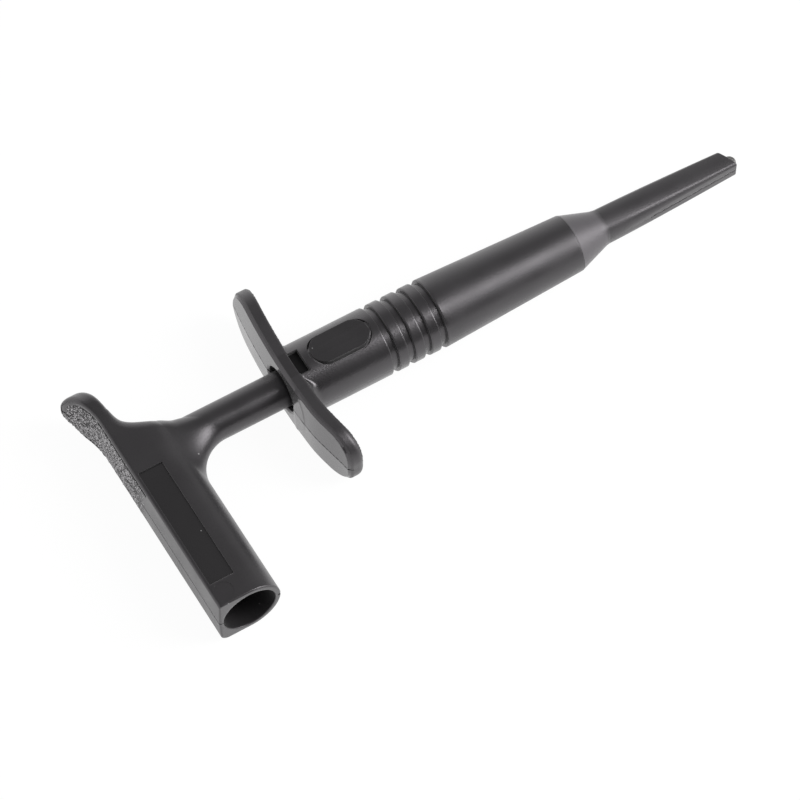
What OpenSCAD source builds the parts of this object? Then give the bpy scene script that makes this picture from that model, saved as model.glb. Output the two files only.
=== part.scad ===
// Grabber test hook with a sprung plunger, a side socket and a wire hook.
// Sizes are in millimetres. The tool lies on its side on the bench:
// X runs along the tool to its hook, Y across it to the thumb rest, Z up.
// Every piece is drawn about the tool's own axis and then set on the bench.

/* [Handle] */
// Distance from the tool's axis to the mouth of the plug socket
socket_reach = 33.4; // [32:0.1:45]
// Half the handle's thickness, also the radius of its rounded front
arm_half_h = 5.8; // [5.6:0.05:8]
// Distance from the socket's axis to the handle's flat back
arm_back = 5.5; // [5.3:0.05:8]
// Radius of the handle's two rear edges
arm_edge_r = 0.9; // [0.3:0.1:1.5]
// Radius of the fillet between the handle and the shaft, on the socket's side
branch_r = 6; // [3:0.1:7]
// Radius of the saddle between the shaft and the thumb rest
saddle_r = 8.1; // [7:0.1:12]
// Distance from the handle's axis to the saddle's lowest point
saddle_x = 4.2; // [3.5:0.1:4.5]
// Distance by which the saddle's lowest point lies inside the shaft
saddle_sink = 0.65; // [0.2:0.05:0.8]

/* [Thumb rest] */
// Reach of the thumb rest past the tool's axis
rest_reach = 16.1; // [14:0.1:20]
// Thickness of the thumb rest
rest_t = 2.7; // [2:0.1:4]
// Height at which the thumb rest starts to lean back
rest_bend_y = 6.3; // [5:0.1:7]
// Radius of the lean
rest_bend_r = 16; // [14:0.5:40]
// Radius of the rounded end
rest_end_r = 6; // [5.9:0.1:7]

/* [Bare panel on the handle] */
// Length of the panel along the handle
panel_len = 23.9; // [10:0.1:25]
// Width of the panel
panel_w = 4.4; // [2:0.1:5]
// Depth of the panel
panel_depth = 0.3; // [0.1:0.05:0.5]
// Distance from the socket's mouth to the panel
panel_inset = 4.45; // [2:0.05:6]
// Distance from the handle's flat back to the panel
panel_edge = 0.85; // [0.5:0.05:2]

/* [Plug socket] */
// Diameter of the shrouded socket
socket_d = 9.6; // [9:0.05:10]
// Depth of the shrouded socket
socket_depth = 24.4; // [22:0.1:26]
// Diameter of the plug pin that the contact takes
plug_d = 4; // [3.8:0.05:4.2]
// Depth of the plug pin's hole
plug_depth = 20.9; // [16:0.1:21]
// Wall of the contact
contact_wall = 0.6; // [0.4:0.05:0.7]
// Distance from the socket's mouth back to the contact
contact_setback = 6.5; // [5:0.1:8]
// Length of the contact's head past the tool's axis
contact_head = 2.8; // [2:0.1:3]
// Wall of the contact's insulating sleeve
sleeve_wall = 0.7; // [0.4:0.05:0.9]
// Thickness of the sleeve's lip in front of the contact
sleeve_lip = 0.6; // [0.3:0.05:1]
// Diameter of the grub screw that clamps the rod
screw_d = 2.5; // [2:0.1:3]
// Depth of the grub screw's hexagon socket
hex_depth = 1.2; // [0.5:0.1:1.5]
// Width of the hexagon socket across its corners
hex_d = 1.45; // [1:0.05:1.5]

/* [Plunger shaft] */
// Diameter of the shaft
shaft_d = 6.45; // [5.8:0.05:7]
// Diameter of the spigot inside the spring
spigot_d = 5.2; // [4:0.1:5.3]
// Length of the spigot
spigot_len = 6; // [3:0.1:12]
// Length of the land between the retaining ring and the spigot
land_len = 0.8; // [0.5:0.1:2]
// Thickness of the retaining ring
ring_t = 0.8; // [0.5:0.05:1.2]
// Diameter of the retaining ring
ring_d = 8; // [7.4:0.05:8.1]
// Depth of the retaining ring's groove
ring_groove = 0.5; // [0.3:0.05:0.6]
// Stroke of the plunger
travel = 10; // [6:0.5:11]

/* [Rod and hook] */
// Diameter of the conductor rod
rod_d = 2; // [1.6:0.05:2.2]
// Length of the rod's clamped end behind the tool's T-joint
rod_tail = 2; // [1:0.1:2.2]
// Diameter of the hook's wire
hook_d = 0.9; // [0.6:0.05:1]
// Distance between the hook's two legs
hook_gap = 1.5; // [1.2:0.05:1.6]
// Length of the hook's returning leg
hook_barb = 4; // [2:0.1:8]
// Length of the hook's shank inside the rod
hook_root = 4; // [2:0.1:6]
// Distance by which the hook stands out of the nose at rest
hook_proud = 0.8; // [0.3:0.05:1.5]

/* [Barrel] */
// Distance from the handle's axis to the finger flange
exposed_len = 25.3; // [24:0.1:40]
// Diameter of the barrel
barrel_d = 12.45; // [12:0.05:14]
// Diameter of the barrel's bore
bore_d = 8.4; // [8.3:0.05:9]
// Length from the flange's rear to the first groove
rear_len = 17.95; // [15:0.05:25]
// Number of grip grooves
groove_n = 4; // [2:1:6]
// Distance from groove to groove
groove_pitch = 3.13; // [2.5:0.01:4]
// Width of a groove
groove_w = 1.2; // [0.6:0.05:1.5]
// Depth of a groove
groove_depth = 0.6; // [0.3:0.05:1]
// Radius of the edges beside the grooves
ring_edge_r = 0.4; // [0.1:0.05:0.6]
// Length of the tapered front part
front_len = 27.6; // [20:0.1:40]
// Diameter of the tapered front part at the grooves
front_root_d = 12.6; // [12:0.05:14]
// Diameter of the tapered front part at the nose
front_d = 10.4; // [10.2:0.05:12]

/* [Finger flange] */
// Half the span of the finger flange
flange_half_len = 19.2; // [15:0.1:25]
// Half the width of the finger flange
flange_half_w = 6.4; // [6.3:0.05:8]
// Radius of the flange's four corners
flange_corner_r = 6; // [3:0.1:6.2]
// Thickness of the finger flange
flange_t = 2.1; // [1.5:0.05:3.5]
// Distance by which the wing tips sweep forwards
flange_sweep = 1.4; // [0.8:0.05:3]

/* [Barrel marks] */
// Length of the oval recess on top of the barrel
oval_len = 10.8; // [6:0.1:11]
// Width of the oval recess
oval_w = 5.5; // [3:0.1:6]
// Depth of the oval recess
oval_depth = 0.3; // [0.1:0.05:0.5]
// Distance from the flange's rear to the oval recess
oval_inset = 5.6; // [5:0.1:6]

/* [Guide bush] */
// Length of the guide bush
bush_len = 6; // [5:0.1:9]
// Distance from the flange's rear to the bush
bush_inset = 1.9; // [1:0.1:2]
// Length of the latch window along the tool
window_len = 1.95; // [1.2:0.05:2.2]
// Width of the latch window
window_w = 4.4; // [3:0.1:5]
// Height of the latch lug inside its window
lug_h = 0.9; // [0.4:0.05:1.5]

/* [Spring] */
// Diameter of the spring's wire
wire_d = 0.7; // [0.5:0.05:0.8]
// Mean diameter of the spring
coil_d = 6.3; // [6:0.05:6.6]
// Number of turns
turns = 13; // [8:1:16]
// Thickness of the spring washers
washer_t = 0.5; // [0.3:0.05:1]
// Diameter of the spring washers
washer_d = 8; // [7.2:0.05:8.1]

/* [Nose] */
// Length of the nose's spigot inside the barrel
nose_spigot_len = 8; // [5:0.1:12]
// Length of the cone
cone_len = 6.25; // [4:0.05:10]
// Length of the nose in front of the cone
nose_len = 26.7; // [22:0.1:40]
// Diameter of the nose at the cone
nose_root_d = 6.24; // [5.8:0.02:7]
// Diameter over the corners of the nose's tip
nose_tip_d = 4.4; // [4.2:0.05:5]
// Width of the nose's tip
tip_w = 3.7; // [3.4:0.05:4.2]
// Height of the nose's tip
tip_h = 2.5; // [2.3:0.05:3]
// Length of the slanted end
tip_slant = 1.65; // [0.5:0.05:2]
// Length of the hook's slot
slot_len = 15; // [12:0.1:17]

/* [Clearances] */
// Clearance of pieces that slide, on each side
run_gap = 0.05; // [0.03:0.01:0.08]
// Clearance of pieces pushed together, on each side
push_gap = 0.02; // [0.01:0.005:0.03]
// Clearance of the hook in its slot, on each side
slot_gap = 0.12; // [0.05:0.01:0.2]

/* [Hidden] */
$fn = 72;
over = 1;

shaft_r = shaft_d / 2;
rod_r = rod_d / 2;
hook_r = hook_d / 2;
barrel_r = barrel_d / 2;
bore_r = bore_d / 2;
contact_r = plug_d / 2 + contact_wall;

// Places along the tool, from the rear
flange_x = exposed_len;
groove_x = flange_x + rear_len;
front_x = groove_x + (groove_n - 1) * groove_pitch + groove_w;
front_end_x = front_x + front_len;
nose_x = front_end_x + cone_len;
nose_end_x = nose_x + nose_len;
hook_end_x = nose_end_x + hook_proud;
bush_x = flange_x + bush_inset;
bush_end_x = bush_x + bush_len;
ring_x = bush_end_x + run_gap;
land_x = ring_x + ring_t + push_gap;
rear_washer_x = land_x + land_len + push_gap;
spring_x = rear_washer_x + washer_t + push_gap;
spigot_end_x = land_x + land_len + spigot_len;
nose_rear_x = front_end_x - nose_spigot_len;
front_washer_x = nose_rear_x - push_gap - washer_t;
spring_end_x = front_washer_x - push_gap;
window_x = flange_x + flange_t;
slot_x = nose_end_x - slot_len;
rod_end_x = nose_rear_x + nose_spigot_len + cone_len / 2;
rod_bore_end_x = max(slot_x, rod_end_x + travel + over);
hook_side = hook_gap / 2;
hook_bend_x = hook_end_x - hook_r - hook_side;
hook_root_x = rod_end_x - hook_root;
hook_lean = asin(hook_side / (hook_bend_x - hook_root_x));
hook_leg = (hook_bend_x - hook_root_x) * cos(hook_lean);

// Places along the handle, measured down from the tool's axis to the socket
socket_end = socket_reach - socket_depth;
contact_mouth = socket_reach - contact_setback;
plug_end = contact_mouth - plug_depth;
screw_end = plug_end - over;

// Bow of the finger flange and lean of the thumb rest
bow_r = (pow(flange_half_len, 2) + pow(flange_sweep, 2)) / (2 * flange_sweep);
lean_x = -arm_back - rest_bend_r;
rest_end_x = lean_x + sqrt(pow(rest_bend_r, 2) - pow(rest_reach - rest_bend_y, 2));

// The tool's middle goes to the origin and its lowest edge to the bench
mid_x = (rest_end_x + hook_end_x) / 2;
mid_y = (max(flange_half_len, rest_reach) - socket_reach) / 2;
bench = max(flange_half_w, barrel_r, arm_half_h);

// The saddle's arc runs from the shaft up to the front of the thumb rest
saddle_y = shaft_r - saddle_sink + saddle_r;
saddle_angle = 180 + acos((saddle_x + arm_back - rest_t) / saddle_r);
saddle_end_y = saddle_y + saddle_r * sin(saddle_angle);

// Points of an arc, from one angle to another
function arc(x, y, r, from, to, steps = 6) =
    [for (i = [0 : steps]) let (a = from + (to - from) * i / steps) [x + r * cos(a), y + r * sin(a)]];

// Points of a profile given as [place, radius], turned into [radius, place]
function swapped(points) = [for (p = points) [p[1], p[0]]];

module on_bench() {
    translate([-mid_x, -mid_y, bench])
        children();
}

// Turns a shape that stands along Z so that it lies along the tool
module along_tool(x = 0) {
    translate([x, 0, 0])
        rotate([0, 90, 0])
            children();
}

// Turns a shape that stands along Z so that it runs down the handle
module down_handle(distance = 0) {
    translate([0, -distance, 0])
        rotate([90, 0, 0])
            children();
}

// Turns an outline drawn across the tool so that it is extruded along it
module across_tool(x, length) {
    translate([x, 0, 0])
        rotate([90, 0, 90])
            linear_extrude(length)
                children();
}

module tube(inner_r, outer_r, length) {
    difference() {
        cylinder(r = outer_r, h = length);
        translate([0, 0, -over])
            cylinder(r = inner_r, h = length + 2 * over);
    }
}

// Rectangle with rounded corners about its middle
module rounded_rect(half_x, half_y, r) {
    square([2 * (half_x - r), 2 * half_y], center = true);
    square([2 * half_x, 2 * (half_y - r)], center = true);
    for (x = [-1, 1], y = [-1, 1])
        translate([x * (half_x - r), y * (half_y - r)])
            circle(r = r);
}

// Handle: round in front, flat behind, with small rear edges
module arm_section() {
    circle(r = arm_half_h);
    translate([-arm_back / 2, 0])
        rounded_rect(arm_back / 2, arm_half_h, arm_edge_r);
    translate([-arm_back / 2, -arm_half_h])
        square([arm_back / 2, 2 * arm_half_h]);
}

// Plan of the handle: straight up to the shaft, then a saddle up to the thumb rest
module arm_plan() {
    polygon(concat(
        [[-arm_back - over, -socket_reach], [arm_half_h + over, -socket_reach]],
        [[arm_half_h + over, saddle_y - saddle_r]],
        arc(saddle_x, saddle_y, saddle_r, 270, saddle_angle, 24),
        [[-arm_back - over, saddle_end_y]]
    ));
}

module arm() {
    intersection() {
        down_handle(-saddle_end_y)
            linear_extrude(socket_reach + saddle_end_y)
                arm_section();
        translate([0, 0, -arm_half_h - over])
            linear_extrude(2 * (arm_half_h + over))
                arm_plan();
    }
}

// Outline of the thumb rest seen from behind: straight sides and a rounded end
module rest_outline() {
    intersection() {
        union() {
            translate([0, -arm_half_h])
                square([rest_reach - rest_end_r, 2 * arm_half_h]);
            translate([rest_reach - rest_end_r, 0])
                circle(r = rest_end_r);
        }
        translate([0, -arm_half_h])
            square([rest_reach, 2 * arm_half_h]);
    }
}

// Thumb rest: a plate that stands straight and then leans back in an arc
module thumb_rest() {
    intersection() {
        union() {
            translate([-arm_back, 0, -arm_half_h])
                cube([rest_t, rest_bend_y, 2 * arm_half_h]);
            intersection() {
                translate([lean_x, rest_bend_y, -arm_half_h])
                    tube(rest_bend_r, rest_bend_r + rest_t, 2 * arm_half_h);
                translate([lean_x, rest_bend_y, -arm_half_h])
                    cube([rest_bend_r + rest_t, rest_reach, 2 * arm_half_h]);
            }
        }
        across_tool(lean_x, rest_bend_r + arm_back)
            rest_outline();
    }
}

// Pipe-like fillet that leads the shaft into the handle on the socket's side
module branch() {
    translate([arm_half_h + branch_r, -shaft_r - branch_r, 0])
        rotate([0, 0, 90])
            rotate_extrude(angle = 90)
                translate([branch_r + shaft_r, 0])
                    circle(r = shaft_r);
}

module shaft() {
    along_tool()
        cylinder(r = shaft_r, h = land_x + land_len);
    along_tool(land_x)
        cylinder(d = spigot_d, h = spigot_end_x - land_x);
}

module bare_panel() {
    translate([panel_edge - arm_back, panel_inset - socket_reach, arm_half_h - panel_depth])
        cube([panel_w, panel_len, panel_depth + over]);
}

module plunger_handle() {
    color("#232325")
        on_bench()
            difference() {
                union() {
                    arm();
                    thumb_rest();
                    branch();
                    shaft();
                }
                down_handle(socket_end)
                    cylinder(d = socket_d, h = socket_depth + over);
                down_handle(-contact_head)
                    cylinder(r = contact_r + push_gap, h = contact_head + socket_end + over);
                along_tool(-rod_tail - over)
                    cylinder(r = rod_r + push_gap, h = rod_tail + spigot_end_x + 2 * over);
                along_tool(ring_x - push_gap)
                    tube(shaft_r - ring_groove, shaft_r + over, ring_t + 2 * push_gap);
                bare_panel();
            }
}

// Turned contact: a tube for the plug pin, closed by the rod's clamp
module jack_contact() {
    color("#c9c4b4")
        on_bench()
            difference() {
                down_handle(-contact_head + push_gap)
                    cylinder(r = contact_r, h = contact_head - push_gap + contact_mouth);
                down_handle(plug_end)
                    cylinder(d = plug_d, h = plug_depth + over);
                down_handle(0)
                    cylinder(r = screw_d / 2 + push_gap, h = plug_end + over);
                along_tool(-contact_r - over)
                    cylinder(r = rod_r + push_gap, h = 2 * (contact_r + over));
            }
}

// Insulating sleeve that keeps fingers off the contact
module jack_sleeve() {
    color("#1b1b1d")
        on_bench()
            difference() {
                down_handle(socket_end + push_gap)
                    cylinder(r = contact_r + push_gap + sleeve_wall, h = contact_mouth + sleeve_lip - socket_end);
                down_handle(socket_end)
                    cylinder(r = contact_r + push_gap, h = contact_mouth - socket_end + push_gap);
                down_handle(contact_mouth)
                    cylinder(r = plug_d / 2 + contact_wall / 2, h = sleeve_lip + 2 * over);
            }
}

module clamp_screw() {
    color("#6f7072")
        on_bench()
            difference() {
                down_handle(rod_r + push_gap)
                    cylinder(d = screw_d, h = screw_end - rod_r - push_gap);
                down_handle(screw_end - hex_depth)
                    cylinder(d = hex_d, h = hex_depth + over, $fn = 6);
            }
}

module conductor_rod() {
    color("#b9b7b0")
        on_bench()
            difference() {
                along_tool(-rod_tail)
                    cylinder(r = rod_r, h = rod_tail + rod_end_x);
                along_wire()
                    along_tool()
                        cylinder(r = hook_r + push_gap, h = hook_root + over);
            }
}

// The hook's wire leans a little, so that its bend lies on the tool's axis
module along_wire() {
    translate([hook_root_x, 0, 0])
        rotate([0, 0, hook_lean])
            children();
}

// Wire hook: a long leg from the rod, a tight bend and a returning leg
module hook() {
    color("#9fa1a3")
        on_bench()
            along_wire() {
                along_tool(push_gap)
                    cylinder(r = hook_r, h = hook_leg - push_gap);
                translate([hook_leg, -hook_side, 0])
                    rotate([0, 0, -90])
                        rotate_extrude(angle = 180)
                            translate([hook_side, 0])
                                circle(r = hook_r);
                translate([hook_leg, -hook_gap, 0])
                    rotate([0, -90, 0]) {
                        cylinder(r = hook_r, h = hook_barb - hook_d);
                        translate([0, 0, hook_barb - hook_d])
                            cylinder(r1 = hook_r, r2 = hook_r / 3, h = hook_d);
                    }
            }
}

// Open ring that stops the plunger at the guide bush
module retaining_ring() {
    color("#8d8f91")
        on_bench()
            along_tool(ring_x)
                difference() {
                    tube(shaft_r - ring_groove + push_gap, ring_d / 2, ring_t);
                    translate([0, -spigot_d / 4, -over])
                        cube([ring_d, spigot_d / 2, ring_t + 2 * over]);
                }
}

module rear_spring_washer() {
    color("#a5a6a8")
        on_bench()
            along_tool(rear_washer_x)
                tube(spigot_d / 2 + push_gap, washer_d / 2, washer_t);
}

module front_spring_washer() {
    color("#a5a6a8")
        on_bench()
            along_tool(front_washer_x)
                tube(rod_r + 4 * run_gap, washer_d / 2, washer_t);
}

// Spring: the end turns lie close, the turns between share the rest evenly
spring_len = spring_end_x - spring_x - wire_d;
open_pitch = (spring_len - 2 * wire_d) / (turns - 2);
wire_sides = 8;
turn_steps = 16;
function coil_height(turn) =
    turn < 1 ? turn * wire_d
    : turn > turns - 1 ? spring_len - (turns - turn) * wire_d
    : wire_d + (turn - 1) * open_pitch;
function coil_ring(turn) =
    [for (s = [0 : wire_sides - 1])
        let (a = 360 * s / wire_sides, r = (coil_d + wire_d * cos(a)) / 2)
        [r * cos(360 * turn), r * sin(360 * turn), coil_height(turn) + wire_d * (1 + sin(a)) / 2]];

module return_spring() {
    steps = turns * turn_steps;
    points = [for (i = [0 : steps]) each coil_ring(i / turn_steps)];
    sides = [for (i = [0 : steps - 1], s = [0 : wire_sides - 1])
        let (a = i * wire_sides, n = (s + 1) % wire_sides)
        [a + s, a + n, a + wire_sides + n, a + wire_sides + s]];
    first = [for (s = [wire_sides - 1 : -1 : 0]) s];
    last = [for (s = [0 : wire_sides - 1]) steps * wire_sides + s];
    color("#b4b5b6")
        on_bench()
            along_tool(spring_x)
                polyhedron(points, concat([first], sides, [last]));
}

// Bush: guides the shaft and latches into the barrel's two windows
module guide_bush() {
    color("#2a2a2c")
        on_bench()
            difference() {
                union() {
                    along_tool(bush_x)
                        cylinder(r = bore_r - push_gap, h = bush_len);
                    translate([window_x + push_gap, -window_w / 2 + push_gap, -bore_r - lug_h])
                        cube([window_len - 2 * push_gap, window_w - 2 * push_gap, 2 * (bore_r + lug_h)]);
                }
                along_tool(bush_x - over)
                    cylinder(r = shaft_r + run_gap, h = bush_len + 2 * over);
            }
}

module flange() {
    intersection() {
        across_tool(flange_x - over, flange_t + flange_sweep + 2 * over)
            rounded_rect(flange_half_len, flange_half_w, flange_corner_r);
        translate([flange_x + bow_r, 0, -flange_half_w - over])
            tube(bow_r - flange_t, bow_r, 2 * (flange_half_w + over));
    }
}

// Outline of one groove, from the wall behind it to the wall in front
function groove_points(x, next_r) = concat(
    arc(x - ring_edge_r, barrel_r - ring_edge_r, ring_edge_r, 90, 0),
    [[x, barrel_r - groove_depth], [x + groove_w, barrel_r - groove_depth]],
    arc(x + groove_w + ring_edge_r, next_r - ring_edge_r, ring_edge_r, 180, 90)
);

module barrel_body() {
    along_tool()
        rotate_extrude()
            polygon(swapped(concat(
                [[flange_x + flange_t / 2, 0], [flange_x + flange_t / 2, barrel_r]],
                [for (i = [0 : groove_n - 2]) each groove_points(groove_x + i * groove_pitch, barrel_r)],
                groove_points(groove_x + (groove_n - 1) * groove_pitch, front_root_d / 2),
                [[front_end_x, front_d / 2], [front_end_x, 0]]
            )));
}

module oval_recess() {
    oval_r = oval_w / 2;
    intersection() {
        translate([flange_x + oval_inset, 0, 0])
            linear_extrude(barrel_d) {
                translate([oval_r, -oval_r])
                    square([oval_len - oval_w, oval_w]);
                for (x = [oval_r, oval_len - oval_r])
                    translate([x, 0])
                        circle(r = oval_r);
            }
        along_tool(flange_x)
            tube(barrel_r - oval_depth, barrel_d, rear_len);
    }
}

module barrel() {
    color("#262628")
        on_bench()
            difference() {
                union() {
                    barrel_body();
                    flange();
                }
                along_tool(flange_x - over)
                    cylinder(r = bore_r, h = front_end_x - flange_x + 2 * over);
                translate([window_x, -window_w / 2, -barrel_d])
                    cube([window_len, window_w, 2 * barrel_d]);
                oval_recess();
            }
}

// Flats that narrow the round nose to its tip, as seen from one side
module tip_flats(half_tip, root_x) {
    polygon([
        [front_end_x, -barrel_r], [root_x, -barrel_r], [root_x, -nose_root_d / 2],
        [nose_end_x, -half_tip], [nose_end_x, half_tip],
        [root_x, nose_root_d / 2], [root_x, barrel_r], [front_end_x, barrel_r]
    ]);
}

module nose_body() {
    intersection() {
        along_tool()
            rotate_extrude()
                polygon(swapped([
                    [front_end_x, 0], [front_end_x, front_d / 2],
                    [nose_x, nose_root_d / 2], [nose_end_x, nose_tip_d / 2], [nose_end_x, 0]
                ]));
        translate([0, 0, -barrel_d])
            linear_extrude(2 * barrel_d)
                tip_flats(tip_w / 2, nose_x);
        rotate([90, 0, 0])
            translate([0, 0, -barrel_d])
                linear_extrude(2 * barrel_d)
                    tip_flats(tip_h / 2, nose_x);
    }
}

// The nose's end leans back on the side away from the hook
module slanted_end() {
    translate([0, 0, -barrel_r])
        linear_extrude(barrel_d)
            polygon([
                [nose_end_x, -tip_w / 2], [nose_end_x - tip_slant, tip_w / 2],
                [nose_end_x - tip_slant, barrel_r], [nose_end_x + over, barrel_r],
                [nose_end_x + over, -tip_w / 2]
            ]);
}

module nose() {
    color("#303033")
        on_bench()
            difference() {
                union() {
                    nose_body();
                    along_tool(nose_rear_x)
                        cylinder(r = bore_r - push_gap, h = nose_spigot_len);
                }
                slanted_end();
                along_tool(nose_rear_x - over)
                    cylinder(r = rod_r + run_gap, h = rod_bore_end_x - nose_rear_x + over);
                translate([slot_x, -barrel_r, -hook_r - slot_gap])
                    cube([slot_len + over, barrel_r + hook_side + hook_r + slot_gap, hook_d + 2 * slot_gap]);
            }
}

barrel();
nose();
guide_bush();
front_spring_washer();
return_spring();
plunger_handle();
jack_contact();
jack_sleeve();
clamp_screw();
conductor_rod();
hook();
retaining_ring();
rear_spring_washer();
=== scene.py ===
# %% [markdown]
# # A grabber test hook, dressed for the camera
# The tool lies on its side: a T-handle on a plunger, a barrel with a finger flange, and a slim
# nose with a wire hook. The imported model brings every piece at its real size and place. This
# lesson gives the three black mouldings their soft edges and fillets, winds the spring, bends
# the hook's wire, and gives every piece its finish.

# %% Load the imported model
import functools
import math

import bpy
import numpy as np
from mathutils import Matrix, Vector


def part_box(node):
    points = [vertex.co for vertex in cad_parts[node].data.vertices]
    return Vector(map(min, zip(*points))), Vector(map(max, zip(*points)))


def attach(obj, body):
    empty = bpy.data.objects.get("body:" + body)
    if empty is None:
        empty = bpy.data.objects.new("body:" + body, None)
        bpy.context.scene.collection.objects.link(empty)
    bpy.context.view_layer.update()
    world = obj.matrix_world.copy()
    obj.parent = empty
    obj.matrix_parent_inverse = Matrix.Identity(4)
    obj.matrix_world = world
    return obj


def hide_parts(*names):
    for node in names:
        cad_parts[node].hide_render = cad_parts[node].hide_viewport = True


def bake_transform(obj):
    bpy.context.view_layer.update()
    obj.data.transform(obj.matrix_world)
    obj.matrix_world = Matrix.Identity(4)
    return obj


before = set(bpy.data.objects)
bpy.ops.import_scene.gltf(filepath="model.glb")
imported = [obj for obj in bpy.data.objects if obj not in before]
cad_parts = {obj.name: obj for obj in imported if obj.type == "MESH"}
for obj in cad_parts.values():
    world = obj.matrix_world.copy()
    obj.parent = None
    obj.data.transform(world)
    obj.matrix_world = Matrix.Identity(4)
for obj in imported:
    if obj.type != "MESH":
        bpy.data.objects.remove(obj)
scene = bpy.context.scene
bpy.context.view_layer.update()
print("nodes:", sorted(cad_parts))

# %% [markdown]
# ## The tool's own axes
# A maker measures this tool from the T-joint, where the handle's axis crosses the plunger's. The
# contact lies on the first and the rod on the second, so their boxes give that point. All shapes
# below are in millimetres from it: X to the hook, Y to the thumb rest, Z up.

# %% Find the T-joint
MM = 0.001


def middle(node):
    """Middle of a CAD node's box, in metres."""
    low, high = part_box(node)
    return (low + high) / 2


T_JOINT = Vector((middle("jack_contact").x, middle("conductor_rod").y, middle("conductor_rod").z))


def tool_box(node):
    """Lowest and highest corner of a CAD node, in millimetres from the T-joint."""
    low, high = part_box(node)
    return (low - T_JOINT) / MM, (high - T_JOINT) / MM


def on_bench(x, y, z):
    """A point given in millimetres from the T-joint, in metres in the row frame."""
    return T_JOINT + Vector((x, y, z)) * MM


handle_low, handle_high = tool_box("plunger_handle")
barrel_low, barrel_high = tool_box("barrel")
nose_low, nose_high = tool_box("nose")
print("T-joint at", [round(value, 5) for value in T_JOINT])

# %% [markdown]
# ## Shapes from distance fields
# A moulding has a radius on every edge and a fillet in every corner. Bevels on cut meshes break
# easily, so each moulding is written as a distance field instead: a formula that is negative
# inside the plastic. Two fields are joined with a fillet, or trimmed with a round edge, by one
# short formula each.

# %% Join, trim and cut distance fields


def joined(a, b, radius):
    """Both shapes, with a fillet of that radius between them."""
    near_a = np.maximum(radius - a, 0)
    near_b = np.maximum(radius - b, 0)
    return np.maximum(radius, np.minimum(a, b)) - np.hypot(near_a, near_b)


def trimmed(a, b, radius):
    """What the two shapes share, with an edge of that radius where they meet."""
    past_a = np.maximum(radius + a, 0)
    past_b = np.maximum(radius + b, 0)
    return np.minimum(-radius, np.maximum(a, b)) + np.hypot(past_a, past_b)


def cut(a, b, radius):
    """The first shape without the second, with an edge of that radius."""
    return trimmed(a, -b, radius)


def shared(*shapes):
    """What all the shapes share, with sharp edges."""
    return functools.reduce(np.maximum, shapes)


def without(a, b):
    """The first shape without the second, with a sharp edge."""
    return np.maximum(a, -b)


def ramp(value, start, end):
    """0 before start, 1 after end, smooth between."""
    share = np.clip((value - start) / (end - start), 0, 1)
    return share * share * (3 - 2 * share)


def rounded_rect(u, v, half_u, half_v, radius):
    """Flat rectangle with round corners."""
    past_u = np.abs(u) - half_u + radius
    past_v = np.abs(v) - half_v + radius
    outside = np.hypot(np.maximum(past_u, 0), np.maximum(past_v, 0))
    return outside + np.minimum(np.maximum(past_u, past_v), 0) - radius


# %% [markdown]
# ## From a field to a mesh
# The field is sampled on a grid whose lines are close where the shape has detail and far apart
# along plain runs. Each grid cell that the surface crosses gets one vertex, set where the tangent
# planes of its crossings meet best. That keeps crisp edges crisp, which plain marching cubes
# would chew.

# %% Skin a distance field
GRADIENT_STEP = 1e-3
FLAT_PULL = 0.02
REFINE_STEPS = 3


def grid_lines(*runs):
    """Grid coordinates from runs of (start, end, step)."""
    lines = [np.linspace(a, b, max(2, round((b - a) / step) + 1))[:-1] for a, b, step in runs]
    return np.concatenate(lines + [[runs[-1][1]]])


def slope(field, points):
    """Unit normals of the field at some points."""
    parts = []
    for axis in range(3):
        shift = np.zeros(3)
        shift[axis] = GRADIENT_STEP
        parts.append(field(*(points + shift).T) - field(*(points - shift).T))
    normals = np.stack(parts, 1)
    return normals / np.maximum(np.linalg.norm(normals, axis=1, keepdims=True), 1e-12)


def crossings(field, values, lines, axis):
    """Where the surface crosses the grid's edges along one axis, and whether it is left there."""
    low = np.moveaxis(values, axis, 0)[:-1]
    high = np.moveaxis(values, axis, 0)[1:]
    found = np.argwhere((low < 0) != (high < 0))
    near, far = low[tuple(found.T)], high[tuple(found.T)]
    corner = found.copy()
    corner[:, 0:axis + 1] = np.roll(found[:, 0:axis + 1], -1, axis=1)
    start = np.stack([lines[a][corner[:, a]] for a in range(3)], 1)
    length = lines[axis][corner[:, axis] + 1] - lines[axis][corner[:, axis]]
    below, above = np.zeros(len(found)), np.ones(len(found))
    share = near / (near - far)
    for _ in range(REFINE_STEPS):
        point = start.copy()
        point[:, axis] += share * length
        value = field(*point.T)
        same = (value < 0) == (near < 0)
        below, near = np.where(same, share, below), np.where(same, value, near)
        above, far = np.where(same, above, share), np.where(same, far, value)
        share = below + (above - below) * near / (near - far)
    point = start.copy()
    point[:, axis] += share * length
    return corner, point, near < 0


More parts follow.
